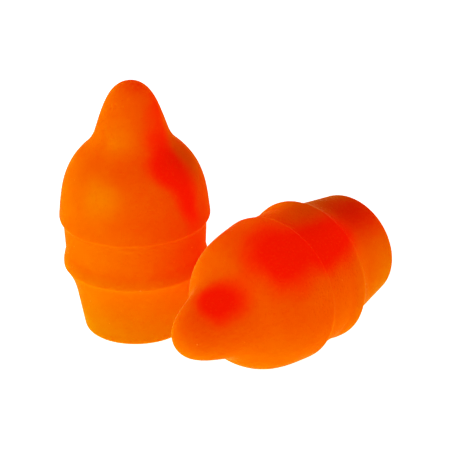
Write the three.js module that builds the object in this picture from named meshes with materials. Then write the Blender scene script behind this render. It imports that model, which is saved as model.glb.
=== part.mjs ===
// A pair of moulded foam ear plugs: one stands on its flat base, the other lies on its side in front of it.
//
// Units are millimetres, with +Z up. The origin is the centre of the standing plug's flat base.
// Each plug is one solid body of revolution. From its base to its tip it has a tapered stem, a rounded
// ridge, a straight waist, a crisp step out to a dome, and a long narrow nose that leads into the ear.

import * as THREE from 'three';

// ---- Driving dimensions of a plug: radii and heights above its base ----

const LENGTH = 24.5;

const BASE_RADIUS = 4.9;
const BASE_EDGE_ROUND = 0.35;

const STEM_TOP_RADIUS = 5.87;
const STEM_TOP_HEIGHT = 5.3;

const RIDGE_RADIUS = 6.72;
const RIDGE_HEIGHT = 6.65;

const WAIST_START_RADIUS = 6.48;
const WAIST_START_HEIGHT = 8.1;
const WAIST_END_RADIUS = 6.6;
const WAIST_END_HEIGHT = 10.85;

const DOME_RADIUS = 6.98;
const DOME_START_HEIGHT = 11.1;
const DOME_EDGE_ROUND = 0.3;

const NECK_RADIUS = 3.82;
const NECK_HEIGHT = 18.5;

// ---- Leans of the outline, in degrees from the plug's axis: positive leans outwards on the way up ----

const RIDGE_FLANK_LEAN = 15;
const DOME_START_LEAN = -6;
const DOME_END_LEAN = -52;
const NOSE_START_LEAN = -22;
const NOSE_TIP_LEAN = -90;

// ---- How far each curved stretch holds its end directions ----

const RIDGE_FLANK_HOLD = 1.0;
const RIDGE_CREST_HOLD = 0.6;
const RIDGE_BACK_HOLD = 0.45;
const DOME_START_HOLD = 2.6;
const DOME_END_HOLD = 3.6;
const NOSE_START_HOLD = 2.9;
const NOSE_TIP_HOLD = 2.4;

// ---- Where the lying plug lies ----

const LYING_BASE_X = 20;
const LYING_BASE_Y = 0.5;
const LYING_HEADING = 227.9;

// ---- Fineness of the solids ----

const SEGMENTS_ROUND = 48;
const STEP_LENGTH = 0.9;
const FEWEST_STEPS = 3;

const FOAM_COLOUR = 0xf14d01;

const radians = THREE.MathUtils.degToRad;

// A point at a given distance from another, along a direction that leans outwards from the axis.
function alongFrom(point, lean, distance) {
  const angle = radians(lean);
  return new THREE.Vector2(
    point.x + distance * Math.sin(angle),
    point.y + distance * Math.cos(angle),
  );
}

// Adds a curve that leaves along one lean and arrives at its end point along another.
function addCurve(path, end, startLean, startHold, endLean, endHold) {
  const start = path.currentPoint.clone();
  const leave = alongFrom(start, startLean, startHold);
  const arrive = alongFrom(end, endLean, -endHold);
  path.bezierCurveTo(leave.x, leave.y, arrive.x, arrive.y, end.x, end.y);
}

// Adds a straight run towards a corner, and rounds the corner off into the direction that follows it.
function addRoundedCorner(path, corner, nextLean, reach) {
  const back = path.currentPoint.clone().sub(corner).setLength(reach);
  const roundStart = corner.clone().add(back);
  const roundEnd = alongFrom(corner, nextLean, reach);
  path.lineTo(roundStart.x, roundStart.y);
  path.quadraticCurveTo(corner.x, corner.y, roundEnd.x, roundEnd.y);
}

// The plug's half outline, from the centre of its base round to its tip: x is the radius, y the height.
function plugOutline() {
  const baseCorner = new THREE.Vector2(BASE_RADIUS, 0);
  const stemTop = new THREE.Vector2(STEM_TOP_RADIUS, STEM_TOP_HEIGHT);
  const ridge = new THREE.Vector2(RIDGE_RADIUS, RIDGE_HEIGHT);
  const waistStart = new THREE.Vector2(WAIST_START_RADIUS, WAIST_START_HEIGHT);
  const waistEnd = new THREE.Vector2(WAIST_END_RADIUS, WAIST_END_HEIGHT);
  const domeCorner = new THREE.Vector2(DOME_RADIUS, DOME_START_HEIGHT);
  const neck = new THREE.Vector2(NECK_RADIUS, NECK_HEIGHT);
  const tip = new THREE.Vector2(0, LENGTH);
  const stemLean = THREE.MathUtils.radToDeg(Math.atan2(STEM_TOP_RADIUS - BASE_RADIUS, STEM_TOP_HEIGHT));

  const path = new THREE.Path();
  path.moveTo(0, 0);
  addRoundedCorner(path, baseCorner, stemLean, BASE_EDGE_ROUND);
  path.lineTo(stemTop.x, stemTop.y);
  addCurve(path, ridge, RIDGE_FLANK_LEAN, RIDGE_FLANK_HOLD, 0, RIDGE_CREST_HOLD);
  addCurve(path, waistStart, 0, RIDGE_BACK_HOLD, 0, RIDGE_BACK_HOLD);
  path.lineTo(waistEnd.x, waistEnd.y);
  addRoundedCorner(path, domeCorner, DOME_START_LEAN, DOME_EDGE_ROUND);
  addCurve(path, neck, DOME_START_LEAN, DOME_START_HOLD, DOME_END_LEAN, DOME_END_HOLD);
  addCurve(path, tip, NOSE_START_LEAN, NOSE_START_HOLD, NOSE_TIP_LEAN, NOSE_TIP_HOLD);
  return path;
}

// Points along the outline: one step for a straight run, and even steps round each curve.
function outlinePoints(path) {
  const points = [path.curves[0].getPoint(0)];
  for (const curve of path.curves) {
    const curveSteps = Math.max(FEWEST_STEPS, Math.ceil(curve.getLength() / STEP_LENGTH));
    const steps = curve.isLineCurve ? 1 : curveSteps;
    for (let step = 1; step <= steps; step += 1) {
      points.push(curve.getPoint(step / steps));
    }
  }
  return points;
}

// One plug, standing on its base at the origin of its own frame.
function makePlug(name, outline) {
  const geometry = new THREE.LatheGeometry(outline, SEGMENTS_ROUND);
  geometry.rotateX(Math.PI / 2);
  const foam = new THREE.MeshStandardMaterial({ color: FOAM_COLOUR, roughness: 0.9, metalness: 0 });
  const plug = new THREE.Mesh(geometry, foam);
  plug.name = name;
  return plug;
}

// Lays a plug on its side with its axis level and its nose along the heading: it rests on its widest ring.
function layDown(plug, outline) {
  const widestRadius = Math.max(...outline.map((point) => point.x));
  plug.rotation.set(0, Math.PI / 2, radians(LYING_HEADING), 'ZYX');
  plug.position.set(LYING_BASE_X, LYING_BASE_Y, widestRadius);
}

const outline = outlinePoints(plugOutline());

const standingPlug = makePlug('standing_plug', outline);

const lyingPlug = makePlug('lying_plug', outline);
layDown(lyingPlug, outline);

const earPlugs = new THREE.Group();
earPlugs.add(standingPlug, lyingPlug);

export default earPlugs;
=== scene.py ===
import math

import bpy
from mathutils import Matrix, Quaternion, Vector, noise


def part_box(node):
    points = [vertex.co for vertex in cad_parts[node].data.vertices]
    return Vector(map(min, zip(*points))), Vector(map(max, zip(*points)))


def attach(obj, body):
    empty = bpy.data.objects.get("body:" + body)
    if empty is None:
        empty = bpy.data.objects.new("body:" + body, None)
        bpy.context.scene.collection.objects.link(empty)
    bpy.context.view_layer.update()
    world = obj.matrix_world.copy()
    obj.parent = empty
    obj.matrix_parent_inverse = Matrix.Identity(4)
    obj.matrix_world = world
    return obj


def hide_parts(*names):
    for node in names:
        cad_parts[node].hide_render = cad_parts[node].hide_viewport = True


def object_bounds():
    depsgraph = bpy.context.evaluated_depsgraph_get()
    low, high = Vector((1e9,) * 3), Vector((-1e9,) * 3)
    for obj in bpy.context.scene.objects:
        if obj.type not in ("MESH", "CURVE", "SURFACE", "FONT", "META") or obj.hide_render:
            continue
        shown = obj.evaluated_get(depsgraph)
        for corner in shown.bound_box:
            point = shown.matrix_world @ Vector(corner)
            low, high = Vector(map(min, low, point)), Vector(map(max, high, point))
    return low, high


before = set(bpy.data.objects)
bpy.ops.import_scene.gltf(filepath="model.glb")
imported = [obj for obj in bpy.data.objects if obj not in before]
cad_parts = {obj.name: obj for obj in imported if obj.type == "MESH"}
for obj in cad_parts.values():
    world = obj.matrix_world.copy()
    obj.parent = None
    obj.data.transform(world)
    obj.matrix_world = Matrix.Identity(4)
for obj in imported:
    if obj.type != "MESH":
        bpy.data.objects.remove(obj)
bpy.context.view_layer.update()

MM = 0.001

# ---- The plug's outline: radii and heights above its base in millimetres, as in the CAD source ----

LENGTH = 24.5
BASE_RADIUS = 4.9
BASE_EDGE_ROUND = 0.35
STEM_TOP = Vector((5.87, 5.3))
RIDGE = Vector((6.72, 6.65))
WAIST_START = Vector((6.48, 8.1))
WAIST_END = Vector((6.6, 10.85))
DOME_CORNER = Vector((6.98, 11.1))
DOME_EDGE_ROUND = 0.3
NECK = Vector((3.82, 18.5))
TIP = Vector((0.0, LENGTH))

# Leans from the plug's axis in degrees, positive outwards on the way up.
STEM_LEAN = math.degrees(math.atan2(STEM_TOP.x - BASE_RADIUS, STEM_TOP.y))
RIDGE_FLANK_LEAN = 15
DOME_START_LEAN = -6
DOME_END_LEAN = -52
NOSE_START_LEAN = -22
NOSE_TIP_LEAN = -90

# How far each curved stretch holds its end directions.
RIDGE_FLANK_HOLD = 1.0
RIDGE_CREST_HOLD = 0.6
RIDGE_BACK_HOLD = 0.45
DOME_START_HOLD = 2.6
DOME_END_HOLD = 3.6
NOSE_START_HOLD = 2.9
NOSE_TIP_HOLD = 2.4

# How far the moulded fillets reach into the runs on each side of the outline's inner corners.
STEM_TOP_FILLET = 1.5
WAIST_END_FILLET = 0.45
NECK_FILLET = 1.1

# Where the lying plug lies, as in the CAD source.
LYING_BASE = Vector((20.0, 0.5))
LYING_HEADING = 227.9

# ---- The moulded surface ----

SEGMENTS_ROUND = 288
OUTLINE_STEP = 0.14
FEWEST_STEPS = 5

# Each plug's own place in the unevenness, so that no two are alike.
STANDING_SEED = Vector((3.1, 7.7, 1.9))
LYING_SEED = Vector((21.4, 5.2, 9.6))

# Foam never leaves its mould perfectly round: (size of the waves, how far they move the skin).
UNEVENNESS = ((7.0, 0.05), (1.6, 0.012), (0.6, 0.005))
# Near the axis the unevenness fades out over this radius, so that the poles stay smooth.
UNEVEN_FADE = 1.2

# The flat end sinks a little inside this radius, where the foam shrank as it cured.
END_FLAT_RADIUS = 4.2
END_DISH = 0.15

# The name under which a mesh keeps each point's place on an upright plug, in millimetres.
PLACE_NAME = "place_on_plug"


def along_from(point, lean, distance):
    """The point a distance away along a direction that leans outwards from the axis."""
    angle = math.radians(lean)
    return point + distance * Vector((math.sin(angle), math.cos(angle)))


def steps_for(length):
    return max(FEWEST_STEPS, math.ceil(length / OUTLINE_STEP))


def straight(start, end):
    """Points along a straight run, without its first."""
    steps = steps_for((end - start).length)
    return [start.lerp(end, step / steps) for step in range(1, steps + 1)]


def bend(start, corner, end):
    """Points along a rounded corner, without its first."""
    steps = steps_for((corner - start).length + (end - corner).length)
    points = []
    for step in range(1, steps + 1):
        t = step / steps
        s = 1 - t
        points.append(start * (s * s) + corner * (2 * s * t) + end * (t * t))
    return points


def curve(start, end, start_lean, start_hold, end_lean, end_hold):
    """Points along a cubic curve that leaves along one lean and arrives along another, without its first."""
    leave = along_from(start, start_lean, start_hold)
    arrive = along_from(end, end_lean, -end_hold)
    steps = steps_for((leave - start).length + (arrive - leave).length + (end - arrive).length)
    points = []
    for step in range(1, steps + 1):
        t = step / steps
        s = 1 - t
        points.append(start * s**3 + leave * (3 * s * s * t) + arrive * (3 * s * t * t) + end * t**3)
    return points


def rounded_corner(start, corner, next_lean, reach):
    """A straight run towards a corner, and the corner rounded into the direction that follows it."""
    round_start = corner + (start - corner).normalized() * reach
    return straight(start, round_start) + bend(round_start, corner, along_from(corner, next_lean, reach))


def filleted(points, corner, reach):
    """The same outline with its inner corner filled by a fillet that reaches that far along both sides."""
    near = [index for index, point in enumerate(points) if (point - corner).length < reach]
    before, after = points[: near[0]], points[near[-1] + 1:]
    return before + bend(before[-1], corner, after[0])[:-1] + after


def plug_outline():
    """The plug's half outline from the centre of its base round to its tip, as (radius, height)."""
    points = [Vector((0.0, 0.0))]
    points += rounded_corner(points[-1], Vector((BASE_RADIUS, 0.0)), STEM_LEAN, BASE_EDGE_ROUND)
    points += straight(points[-1], STEM_TOP)
    points += curve(STEM_TOP, RIDGE, RIDGE_FLANK_LEAN, RIDGE_FLANK_HOLD, 0, RIDGE_CREST_HOLD)
    points += curve(RIDGE, WAIST_START, 0, RIDGE_BACK_HOLD, 0, RIDGE_BACK_HOLD)
    points += straight(points[-1], WAIST_END)
    points += rounded_corner(points[-1], DOME_CORNER, DOME_START_LEAN, DOME_EDGE_ROUND)
    points += curve(points[-1], NECK, DOME_START_LEAN, DOME_START_HOLD, DOME_END_LEAN, DOME_END_HOLD)
    points += curve(NECK, TIP, NOSE_START_LEAN, NOSE_START_HOLD, NOSE_TIP_LEAN, NOSE_TIP_HOLD)
    points = filleted(points, STEM_TOP, STEM_TOP_FILLET)
    points = filleted(points, WAIST_END, WAIST_END_FILLET)
    return filleted(points, NECK, NECK_FILLET)


def smooth_step(low, high, value):
    t = min(1.0, max(0.0, (value - low) / (high - low)))
    return t * t * (3 - 2 * t)


def end_sink(radius):
    """How far the flat end sinks into the plug at this radius."""
    return END_DISH * (1 - smooth_step(0, END_FLAT_RADIUS, radius))


def uneven(point, seed):
    """How far the skin stands out at a point of the plug, from waves of several sizes."""
    swell = sum(reach * noise.noise(point / size + seed) for size, reach in UNEVENNESS)
    return swell * smooth_step(0, UNEVEN_FADE, math.hypot(point.x, point.y))


def skin_point(ring, angle, seed):
    """A point of the plug's skin, on one ring of the outline, in millimetres."""
    point = Vector((ring.x * math.cos(angle), ring.x * math.sin(angle), ring.y))
    if ring.y <= 0:
        point.z += end_sink(ring.x)
        return point
    outwards = uneven(point, seed)
    return point + Vector((math.cos(angle), math.sin(angle), 0)) * outwards


def plug_skin(seed):
    """Vertices and faces of the closed skin that the outline sweeps round the Z axis."""
    outline = plug_outline()
    rings = outline[1:-1]
    verts = [Vector((0, 0, end_sink(0)))]
    for ring in rings:
        for segment in range(SEGMENTS_ROUND):
            verts.append(skin_point(ring, 2 * math.pi * segment / SEGMENTS_ROUND, seed))
    verts.append(Vector((0, 0, LENGTH)))
    tip = len(verts) - 1
    top_ring = 1 + (len(rings) - 1) * SEGMENTS_ROUND
    faces = []
    for segment in range(SEGMENTS_ROUND):
        after = (segment + 1) % SEGMENTS_ROUND
        faces.append((0, 1 + after, 1 + segment))
        for ring in range(len(rings) - 1):
            low = 1 + ring * SEGMENTS_ROUND
            high = low + SEGMENTS_ROUND
            faces.append((low + segment, low + after, high + after, high + segment))
        faces.append((top_ring + segment, top_ring + after, tip))
    return verts, faces


def make_plug(name, place, seed, material):
    """One plug, set down where place puts it, just touching the surface under it."""
    verts, faces = plug_skin(seed)
    placed = [place @ (vert * MM) for vert in verts]
    lowest = min(vert.z for vert in placed)
    mesh = bpy.data.meshes.new(name)
    mesh.from_pydata([vert - Vector((0, 0, lowest)) for vert in placed], [], faces)
    places = mesh.attributes.new(PLACE_NAME, "FLOAT_VECTOR", "POINT")
    places.data.foreach_set("vector", [coordinate for vert in verts for coordinate in vert])
    mesh.materials.append(material)
    mesh.shade_smooth()
    plug = bpy.data.objects.new(name, mesh)
    bpy.context.scene.collection.objects.link(plug)
    return plug


def lying_place():
    """Turns a standing plug onto its side, its nose along the heading, resting on its widest ring."""
    low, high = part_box("lying_plug")
    height = (high.z - low.z) / 2
    turn = Matrix.Rotation(math.radians(LYING_HEADING), 4, "Z") @ Matrix.Rotation(math.pi / 2, 4, "Y")
    return Matrix.Translation((LYING_BASE.x * MM, LYING_BASE.y * MM, height)) @ turn


# ---- Materials ----

# The foam's dyed colour varies slowly between the first two. Towards the thin end of the stem it is
# painted lighter, up to this height in millimetres: painted light from the glowing floor below.
FOAM_DEEP = (0.16, 0.104, 0.0, 1)
FOAM_LIGHT = (0.17, 0.128, 0.0, 1)
FOAM_LIT_THIN_END = (0.08, 0.150, 0.0, 1)
THIN_END_REACH = 7.0
# Painted shade: a darker band along the dome's lower edge dims the bright line that the light from below
# gives it. Painted light: a lighter band over the ridge lifts the shade around it. Each band's height above
# the base and half its width in millimetres, and how strong it is.
EDGE_SHADE_BAND = (11.0, 0.5, 0.45)
EDGE_SHADE = (0.10, 0.060, 0.0, 1)
RIDGE_LIGHT_BAND = (6.9, 1.1, 0.55)
RIDGE_LIGHT = (0.13, 0.165, 0.0, 1)
# The size in millimetres of the slow variation.
MOTTLE_SIZE = 5.0

# Marks painted into the colour: the red ones are mostly painted shade where little light falls, the yellow
# ones are painted highlights, and the dull ones are painted shade that also glows less.
RED_SHADE_AND_TONE = (0.30, 0.004, 0.0, 1)
YELLOW_HIGHLIGHT = (0.18, 0.260, 0.0, 1)
DULL_SHADE_COLOUR = (0.01, 0.085, 0.0, 1)

# Painted light, partly real: the dye is fluorescent, but the foam glows red of itself, as much where no
# light falls, which keeps its shaded side red. It glows less in the dull marks of painted shade.
GLOW = (1.0, 0.008, 0.0, 1)
DULL_SHADE_GLOW = (0.64, 0.008, 0.0, 1)
GLOW_STRENGTH = 0.76

# Where each plug's marks lie: red ones mostly painted shade, yellow ones painted highlights, dull ones
# painted shade. Each mark is its height above the base in millimetres, its angle round the plug's axis in
# degrees, its radius in millimetres and its strength.
# Round the standing plug, 0 is the right side and -90 the front. Round the lying plug, 180 is the top,
# 90 the side that faces forwards and 0 the underside.
STANDING_MARKS = {
    "red": (
        # Painted shade beside the root of the nose, with a tail down the dome and a weaker streak up the
        # nose.
        (NECK.y - 0.5, -50, 2.0, 0.9),
        (16.0, -40, 2.0, 0.5),
        (14.0, -40, 1.5, 0.5),
        (12.0, -40, 1.5, 0.3),
        (21.0, -40, 1.5, 0.45),
        (23.0, -25, 1.5, 0.45),
        # Faint, on the far side.
        (13.5, 120, 3.0, 0.5),
    ),
    "yellow_highlight": (
        # Painted highlights on the left of the dome and on the nose.
        (15.5, -120, 2.0, 0.6),
        (20.0, -110, 1.5, 0.4),
    ),
    "dull_shade": (
        # Painted shade on the dome's right, just below the nose.
        (NECK.y - 1.0, -15, 2.5, 0.6),
    ),
}
LYING_MARKS = {
    "red": (
        # Painted shade across the top of the dome, the waist and the ridge, on top of the nose and on the
        # stem.
        (14.0, 150, 3.5, 1.0),
        (RIDGE.y + 1.5, 140, 2.5, 1.0),
        (20.5, 155, 2.0, 1.0),
        (2.5, 155, 3.0, 0.7),
        # Faint, on the far side.
        (9.0, -90, 3.0, 0.5),
    ),
    "yellow_highlight": (
        # A painted highlight on the dome.
        (15.5, -120, 2.0, 0.5),
    ),
    "dull_shade": (
        # Painted shade along the top of the stem and of the waist above the ridge.
        (2.5, 180, 3.5, 1.0),
        (RIDGE.y + 2.0, 175, 2.5, 0.5),
    ),
}
# How slowly each kind of mark fades in from its surroundings: 0.5 is the softest.
RED_SOFTNESS = 0.33
HIGHLIGHT_SOFTNESS = 0.5
DULL_SHADE_SOFTNESS = 0.5

# The edge of a red patch or of a painted highlight wanders this far, in turns of this size, in millimetres.
PATCH_WANDER = 1.6
PATCH_WANDER_SIZE = 3.0
WANDER_DETAIL = 0.5

# Soft noise keeps near the middle of its range, so this part of it is spread over the whole.
NOISE_LOW = 0.3
NOISE_HIGH = 0.7
COARSE_DETAIL = 2
FINE_DETAIL = 3

# The skin's fine grain and its pores: their sizes and depths in millimetres.
GRAIN_SIZE = 0.45
GRAIN_DEPTH = 0.03
PORE_SIZE = 0.30
PORE_DEPTH = 0.02
# A pore is deepest up to the first share of its size from its middle, and ends at the second.
PORE_FLOOR = 0.1
PORE_RIM = 0.5
# The flat end has larger pores, which stop at its edge.
END_PORE_SIZE = 0.32
END_PORE_DEPTH = 0.04
END_PORE_REACH = 0.35
PORE_SHADE = (0.10, 0.070, 0.0, 1)
SKIN_PORE_SHADE = 0.12
END_PORE_SHADE = 0.25

# A few pale specks, one to each of some of the cells of this size.
SPECK_SPACING = 1.5
SPECK_RADIUS = 0.07
SPECK_SHARE = 0.4
SPECK = (0.28, 0.22, 0.03, 1)

ROUGHNESS_LOW = 0.7
ROUGHNESS_HIGH = 0.9

# Light scatters this many millimetres under the skin, red the furthest. Seen edge-on, the skin's torn
# cells catch the light in a thin pale sheen.
SCATTER_REACH = 1.8
SCATTER_COLOUR = (1.0, 0.5, 0.1)
SHEEN = 0.5
SHEEN_ROUGHNESS = 0.15
SHEEN_TINT = (1.0, 0.6, 0.2, 1)


def add_node(tree, kind, **inputs):
    """A shader node with the named inputs either set or linked."""
    node = tree.nodes.new(kind)
    for name, value in inputs.items():
        feed(tree, node.inputs[name.replace("_", " ")], value)
    return node


def feed(tree, socket, value):
    """Links a socket to another node's output, or sets it to a plain value."""
    if isinstance(value, bpy.types.NodeSocket):
        tree.links.new(value, socket)
    else:
        socket.default_value = value


def calculated(tree, kind, operation, *values):
    """A Math or Vector Math node of that operation."""
    node = tree.nodes.new(kind)
    node.operation = operation
    for socket, value in zip(node.inputs, values):
        feed(tree, socket, value)
    return node


def sum_of(tree, first, second):
    return calculated(tree, "ShaderNodeMath", "ADD", first, second).outputs["Value"]


def product_of(tree, first, second):
    return calculated(tree, "ShaderNodeMath", "MULTIPLY", first, second).outputs["Value"]


def in_millimetres(tree):
    """The piece's own coordinates, in millimetres."""
    place = add_node(tree, "ShaderNodeTexCoord").outputs["Object"]
    return add_node(tree, "ShaderNodeMapping", Vector=place, Scale=(1 / MM,) * 3).outputs["Vector"]


def place_on_plug(tree):
    """Each point's place on an upright plug, in millimetres, however the plug lies."""
    node = tree.nodes.new("ShaderNodeAttribute")
    node.attribute_name = PLACE_NAME
    return node.outputs["Vector"]


def noise_field(tree, place, size, detail):
    """Soft noise with features of that size in millimetres."""
    field = add_node(tree, "ShaderNodeTexNoise", Vector=place, Scale=1 / size, Detail=detail, Roughness=0.5)
    return field.outputs["Fac"]


def spread(tree, value, low, high, to_low, to_high):
    """Maps a range of a value smoothly onto another range."""
    node = add_node(
        tree, "ShaderNodeMapRange",
        Value=value, From_Min=low, From_Max=high, To_Min=to_low, To_Max=to_high,
    )
    node.interpolation_type = "SMOOTHSTEP"
    return node.outputs["Result"]


def mixed(tree, amount, colour_a, colour_b):
    node = tree.nodes.new("ShaderNodeMix")
    node.data_type = "RGBA"
    feed(tree, node.inputs[0], amount)
    feed(tree, node.inputs[6], colour_a)
    feed(tree, node.inputs[7], colour_b)
    return node.outputs[2]


def wandering(tree, place):
    """The same coordinates, pushed about by slow noise."""
    push = add_node(
        tree, "ShaderNodeTexNoise", Vector=place, Scale=1 / PATCH_WANDER_SIZE, Detail=WANDER_DETAIL,
    )
    centred = calculated(tree, "ShaderNodeVectorMath", "SUBTRACT", push.outputs["Color"], (0.5,) * 3)
    moved = calculated(
        tree, "ShaderNodeVectorMath", "MULTIPLY_ADD", centred.outputs["Vector"], (PATCH_WANDER,) * 3, place,
    )
    return moved.outputs["Vector"]


def on_skin(height, angle):
    """The point of an upright plug's skin at that height and that angle round its axis."""
    nearest = min(plug_outline(), key=lambda point: abs(point.y - height))
    turned = math.radians(angle)
    return Vector((nearest.x * math.cos(turned), nearest.x * math.sin(turned), height))


def patches(tree, place, marks, softness):
    """How strongly the marks show at each point; near ones run into each other."""
    total = 0.0
    for height, angle, radius, strength in marks:
        centre = on_skin(height, angle)
        away = calculated(tree, "ShaderNodeVectorMath", "DISTANCE", place, centre).outputs["Value"]
        total = sum_of(tree, spread(tree, away, 0.0, 2 * radius, strength, 0.0), total)
    return spread(tree, total, 0.5 - softness, 0.5 + softness, 0.0, 1.0)


def pores(tree, place, size):
    """1 in the middle of each pore of that size in millimetres, and 0 between the pores."""
    cells = add_node(tree, "ShaderNodeTexVoronoi", Vector=place, Scale=1 / size)
    return spread(tree, cells.outputs["Distance"], PORE_FLOOR, PORE_RIM, 1.0, 0.0)


def specks(tree, place):
    """1 on the few pale specks, and 0 elsewhere."""
    cells = add_node(tree, "ShaderNodeTexVoronoi", Vector=place, Scale=1 / SPECK_SPACING)
    reach = SPECK_RADIUS / SPECK_SPACING
    inside = spread(tree, cells.outputs["Distance"], 0.5 * reach, 1.5 * reach, 1.0, 0.0)
    lot = add_node(tree, "ShaderNodeSeparateColor", Color=cells.outputs["Color"]).outputs["Red"]
    chosen = calculated(tree, "ShaderNodeMath", "LESS_THAN", lot, SPECK_SHARE).outputs["Value"]
    return product_of(tree, inside, chosen)


def band(tree, height, middle, half_width, strength):
    """The strength at a height in the middle of a band round the plug, fading out to its sides."""
    away = calculated(tree, "ShaderNodeMath", "SUBTRACT", height, middle).outputs["Value"]
    distance = calculated(tree, "ShaderNodeMath", "ABSOLUTE", away).outputs["Value"]
    return spread(tree, distance, 0.0, half_width, strength, 0.0)


def painted_and_dyed_colour(tree, place, height, marks, dull_shade):
    """The foam's colour: the dye's slow mottling, painted light on the thin end and over the ridge, painted
    shade along the dome's edge, and the marks, mostly painted shade and painted highlights.
    """
    clouds = noise_field(tree, in_millimetres(tree), MOTTLE_SIZE, COARSE_DETAIL)
    mottle = spread(tree, clouds, NOISE_LOW, NOISE_HIGH, 0.0, 1.0)
    colour = mixed(tree, mottle, FOAM_DEEP, FOAM_LIGHT)
    # Painted light: lighter towards the base, where the floor's glow falls.
    colour = mixed(tree, spread(tree, height, 0.0, THIN_END_REACH, 1.0, 0.0), colour, FOAM_LIT_THIN_END)
    # Painted shade along the dome's lower edge, then painted light over the ridge.
    colour = mixed(tree, band(tree, height, *EDGE_SHADE_BAND), colour, EDGE_SHADE)
    colour = mixed(tree, band(tree, height, *RIDGE_LIGHT_BAND), colour, RIDGE_LIGHT)
    # Painted shade in the dull marks.
    colour = mixed(tree, dull_shade, colour, DULL_SHADE_COLOUR)
    pushed = wandering(tree, place)
    # Painted shade in the red marks, with a faint red tone on the far side.
    colour = mixed(tree, patches(tree, pushed, marks["red"], RED_SOFTNESS), colour, RED_SHADE_AND_TONE)
    # Painted highlights in the yellow marks.
    return mixed(tree, patches(tree, pushed, marks["yellow_highlight"], HIGHLIGHT_SOFTNESS), colour, YELLOW_HIGHLIGHT)


def foam_material(name, marks):
    """Soft polyurethane foam: matt and cloudy, dyed a fluorescent orange, with a fine-pored skin, painted
    shade, painted highlights and a painted red glow.
    """
    material = bpy.data.materials.new(name)
    material.use_nodes = True
    tree = material.node_tree
    place = in_millimetres(tree)
    on_plug = place_on_plug(tree)
    height = add_node(tree, "ShaderNodeSeparateXYZ", Vector=on_plug).outputs["Z"]
    # Where painted shade dulls both the colour and the glow.
    dull_shade = patches(tree, on_plug, marks["dull_shade"], DULL_SHADE_SOFTNESS)
    on_end = spread(tree, height, 0.0, END_PORE_REACH, 1.0, 0.0)
    skin_pores = pores(tree, place, PORE_SIZE)
    end_pores = product_of(tree, pores(tree, place, END_PORE_SIZE), on_end)
    # The dyed colour, with its painted light, painted shade and painted highlights.
    colour = painted_and_dyed_colour(tree, on_plug, height, marks, dull_shade)
    colour = mixed(tree, product_of(tree, skin_pores, SKIN_PORE_SHADE), colour, PORE_SHADE)
    colour = mixed(tree, product_of(tree, end_pores, END_PORE_SHADE), colour, PORE_SHADE)
    colour = mixed(tree, specks(tree, place), colour, SPECK)
    grain = product_of(tree, noise_field(tree, place, GRAIN_SIZE, FINE_DETAIL), GRAIN_DEPTH)
    relief = sum_of(tree, grain, product_of(tree, skin_pores, -PORE_DEPTH))
    relief = sum_of(tree, relief, product_of(tree, end_pores, -END_PORE_DEPTH))
    bump = add_node(tree, "ShaderNodeBump", Height=relief, Distance=MM)
    coarseness = noise_field(tree, place, GRAIN_SIZE, COARSE_DETAIL)
    roughness = spread(tree, coarseness, NOISE_LOW, NOISE_HIGH, ROUGHNESS_LOW, ROUGHNESS_HIGH)
    shader = tree.nodes["Principled BSDF"]
    tree.links.new(colour, shader.inputs["Base Color"])
    tree.links.new(bump.outputs["Normal"], shader.inputs["Normal"])
    tree.links.new(roughness, shader.inputs["Roughness"])
    # Painted light: the foam glows red of itself, less in the dull painted shade.
    tree.links.new(mixed(tree, dull_shade, GLOW, DULL_SHADE_GLOW), shader.inputs["Emission Color"])
    shader.inputs["Emission Strength"].default_value = GLOW_STRENGTH
    shader.inputs["Specular IOR Level"].default_value = 0.0
    shader.inputs["Sheen Weight"].default_value = SHEEN
    shader.inputs["Sheen Roughness"].default_value = SHEEN_ROUGHNESS
    shader.inputs["Sheen Tint"].default_value = SHEEN_TINT
    shader.inputs["Subsurface Weight"].default_value = 1.0
    shader.inputs["Subsurface Radius"].default_value = SCATTER_COLOUR
    shader.inputs["Subsurface Scale"].default_value = SCATTER_REACH * MM
    return material


# ---- Floor ----

# Half the floor's side, in metres.
FLOOR_HALF = 2.0
FLOOR_GLOW = 1.0
FLOOR_COLOUR = (0.9, 0.9, 0.9, 1)
FLOOR_ROUGHNESS = 0.9
FLOOR_SHINE = 0.1
WHITE = (1, 1, 1, 1)


def make_floor():
    """A pale light table, which lights the plugs from below as well as carrying them."""
    mesh = bpy.data.meshes.new("floor")
    corners = [(-1, -1), (1, -1), (1, 1), (-1, 1)]
    mesh.from_pydata([(x * FLOOR_HALF, y * FLOOR_HALF, 0) for x, y in corners], [], [(0, 1, 2, 3)])
    floor = bpy.data.objects.new("floor", mesh)
    material = bpy.data.materials.new("pale_floor")
    material.use_nodes = True
    shader = material.node_tree.nodes["Principled BSDF"]
    shader.inputs["Base Color"].default_value = FLOOR_COLOUR
    shader.inputs["Roughness"].default_value = FLOOR_ROUGHNESS
    shader.inputs["Specular IOR Level"].default_value = FLOOR_SHINE
    shader.inputs["Emission Color"].default_value = WHITE
    shader.inputs["Emission Strength"].default_value = FLOOR_GLOW
    mesh.materials.append(material)
    bpy.context.scene.collection.objects.link(floor)


# ---- Camera ----

# The camera looks at the point this far from the middle of the pair, in millimetres.
VIEW_SHIFT = Vector((-0.15, 0.1, 0.2))
# Degrees: the azimuth is 0 in front and grows to the right, and the elevation is above level.
VIEW_AZIMUTH = -1.5
VIEW_ELEVATION = 26.9
VIEW_ROLL = -1.4
# In millimetres, as the lens is.
VIEW_DISTANCE = 345.0
LENS = 304.5


def direction_back(azimuth, elevation):
    """The direction from the object towards a camera or a light that stands there."""
    around = math.radians(azimuth)
    above = math.radians(elevation)
    level = math.cos(above)
    return Vector((math.sin(around) * level, -math.cos(around) * level, math.sin(above)))


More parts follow.
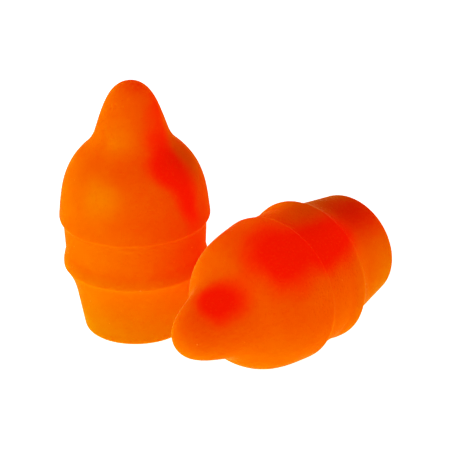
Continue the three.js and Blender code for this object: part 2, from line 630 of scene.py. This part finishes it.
def make_camera():
    low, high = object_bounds()
    target = (Vector(low) + Vector(high)) / 2 + VIEW_SHIFT * MM
    back = direction_back(VIEW_AZIMUTH, VIEW_ELEVATION)
    camera = bpy.data.objects.new("camera", bpy.data.cameras.new("camera"))
    camera.data.lens = LENS
    camera.location = target + back * VIEW_DISTANCE * MM
    camera.rotation_mode = "QUATERNION"
    roll = Quaternion((0, 0, 1), math.radians(VIEW_ROLL))
    camera.rotation_quaternion = (-back).to_track_quat("-Z", "Y") @ roll
    bpy.context.scene.collection.objects.link(camera)
    bpy.context.scene.camera = camera


# ---- Light ----

# In metres: where every light points, how far away it stands and how wide it is.
LIGHT_TARGET = Vector((0.01, -0.005, 0.008))
LIGHT_DISTANCE = 0.5
LIGHT_SIZE = 0.3
LIGHT_ELEVATION = 15

# The room's glow along the horizon, and the height of a direction at which it has faded out.
HORIZON_GLOW = 1.0
HORIZON_FADE = 0.12

# Each soft light's name, azimuth (0 is the camera's side, 90 the right) and power in watts.
LIGHTS = (
    ("left_light", 300, 1.2),
    ("front_light", 335, 0.6),
    ("back_light", 210, 1.3),
    ("right_light", 105, 0.4),
)


def make_light(name, azimuth, power):
    back = direction_back(azimuth, LIGHT_ELEVATION)
    light = bpy.data.objects.new(name, bpy.data.lights.new(name, "AREA"))
    light.data.shape = "DISK"
    light.data.size = LIGHT_SIZE
    light.data.energy = power
    light.location = LIGHT_TARGET + back * LIGHT_DISTANCE
    light.rotation_mode = "QUATERNION"
    light.rotation_quaternion = (-back).to_track_quat("-Z", "Y")
    bpy.context.scene.collection.objects.link(light)


def make_world():
    """A room that is bright along the horizon and dark overhead."""
    world = bpy.data.worlds.new("studio")
    world.use_nodes = True
    tree = world.node_tree
    direction = add_node(tree, "ShaderNodeTexCoord").outputs["Generated"]
    height = add_node(tree, "ShaderNodeSeparateXYZ", Vector=direction).outputs["Z"]
    glow = spread(tree, height, 0.0, HORIZON_FADE, HORIZON_GLOW, 0.0)
    tree.links.new(glow, tree.nodes["Background"].inputs["Strength"])
    tree.nodes["Background"].inputs["Color"].default_value = WHITE
    bpy.context.scene.world = world


make_camera()
make_floor()
make_world()
for light in LIGHTS:
    make_light(*light)
bpy.context.scene.view_settings.view_transform = "Standard"

standing_foam = foam_material("standing_foam", STANDING_MARKS)
lying_foam = foam_material("lying_foam", LYING_MARKS)
standing = make_plug("standing_plug_foam", Matrix.Identity(4), STANDING_SEED, standing_foam)
lying = make_plug("lying_plug_foam", lying_place(), LYING_SEED, lying_foam)
for piece, node in ((standing, "standing_plug"), (lying, "lying_plug")):
    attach(piece, node)
    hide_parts(node)
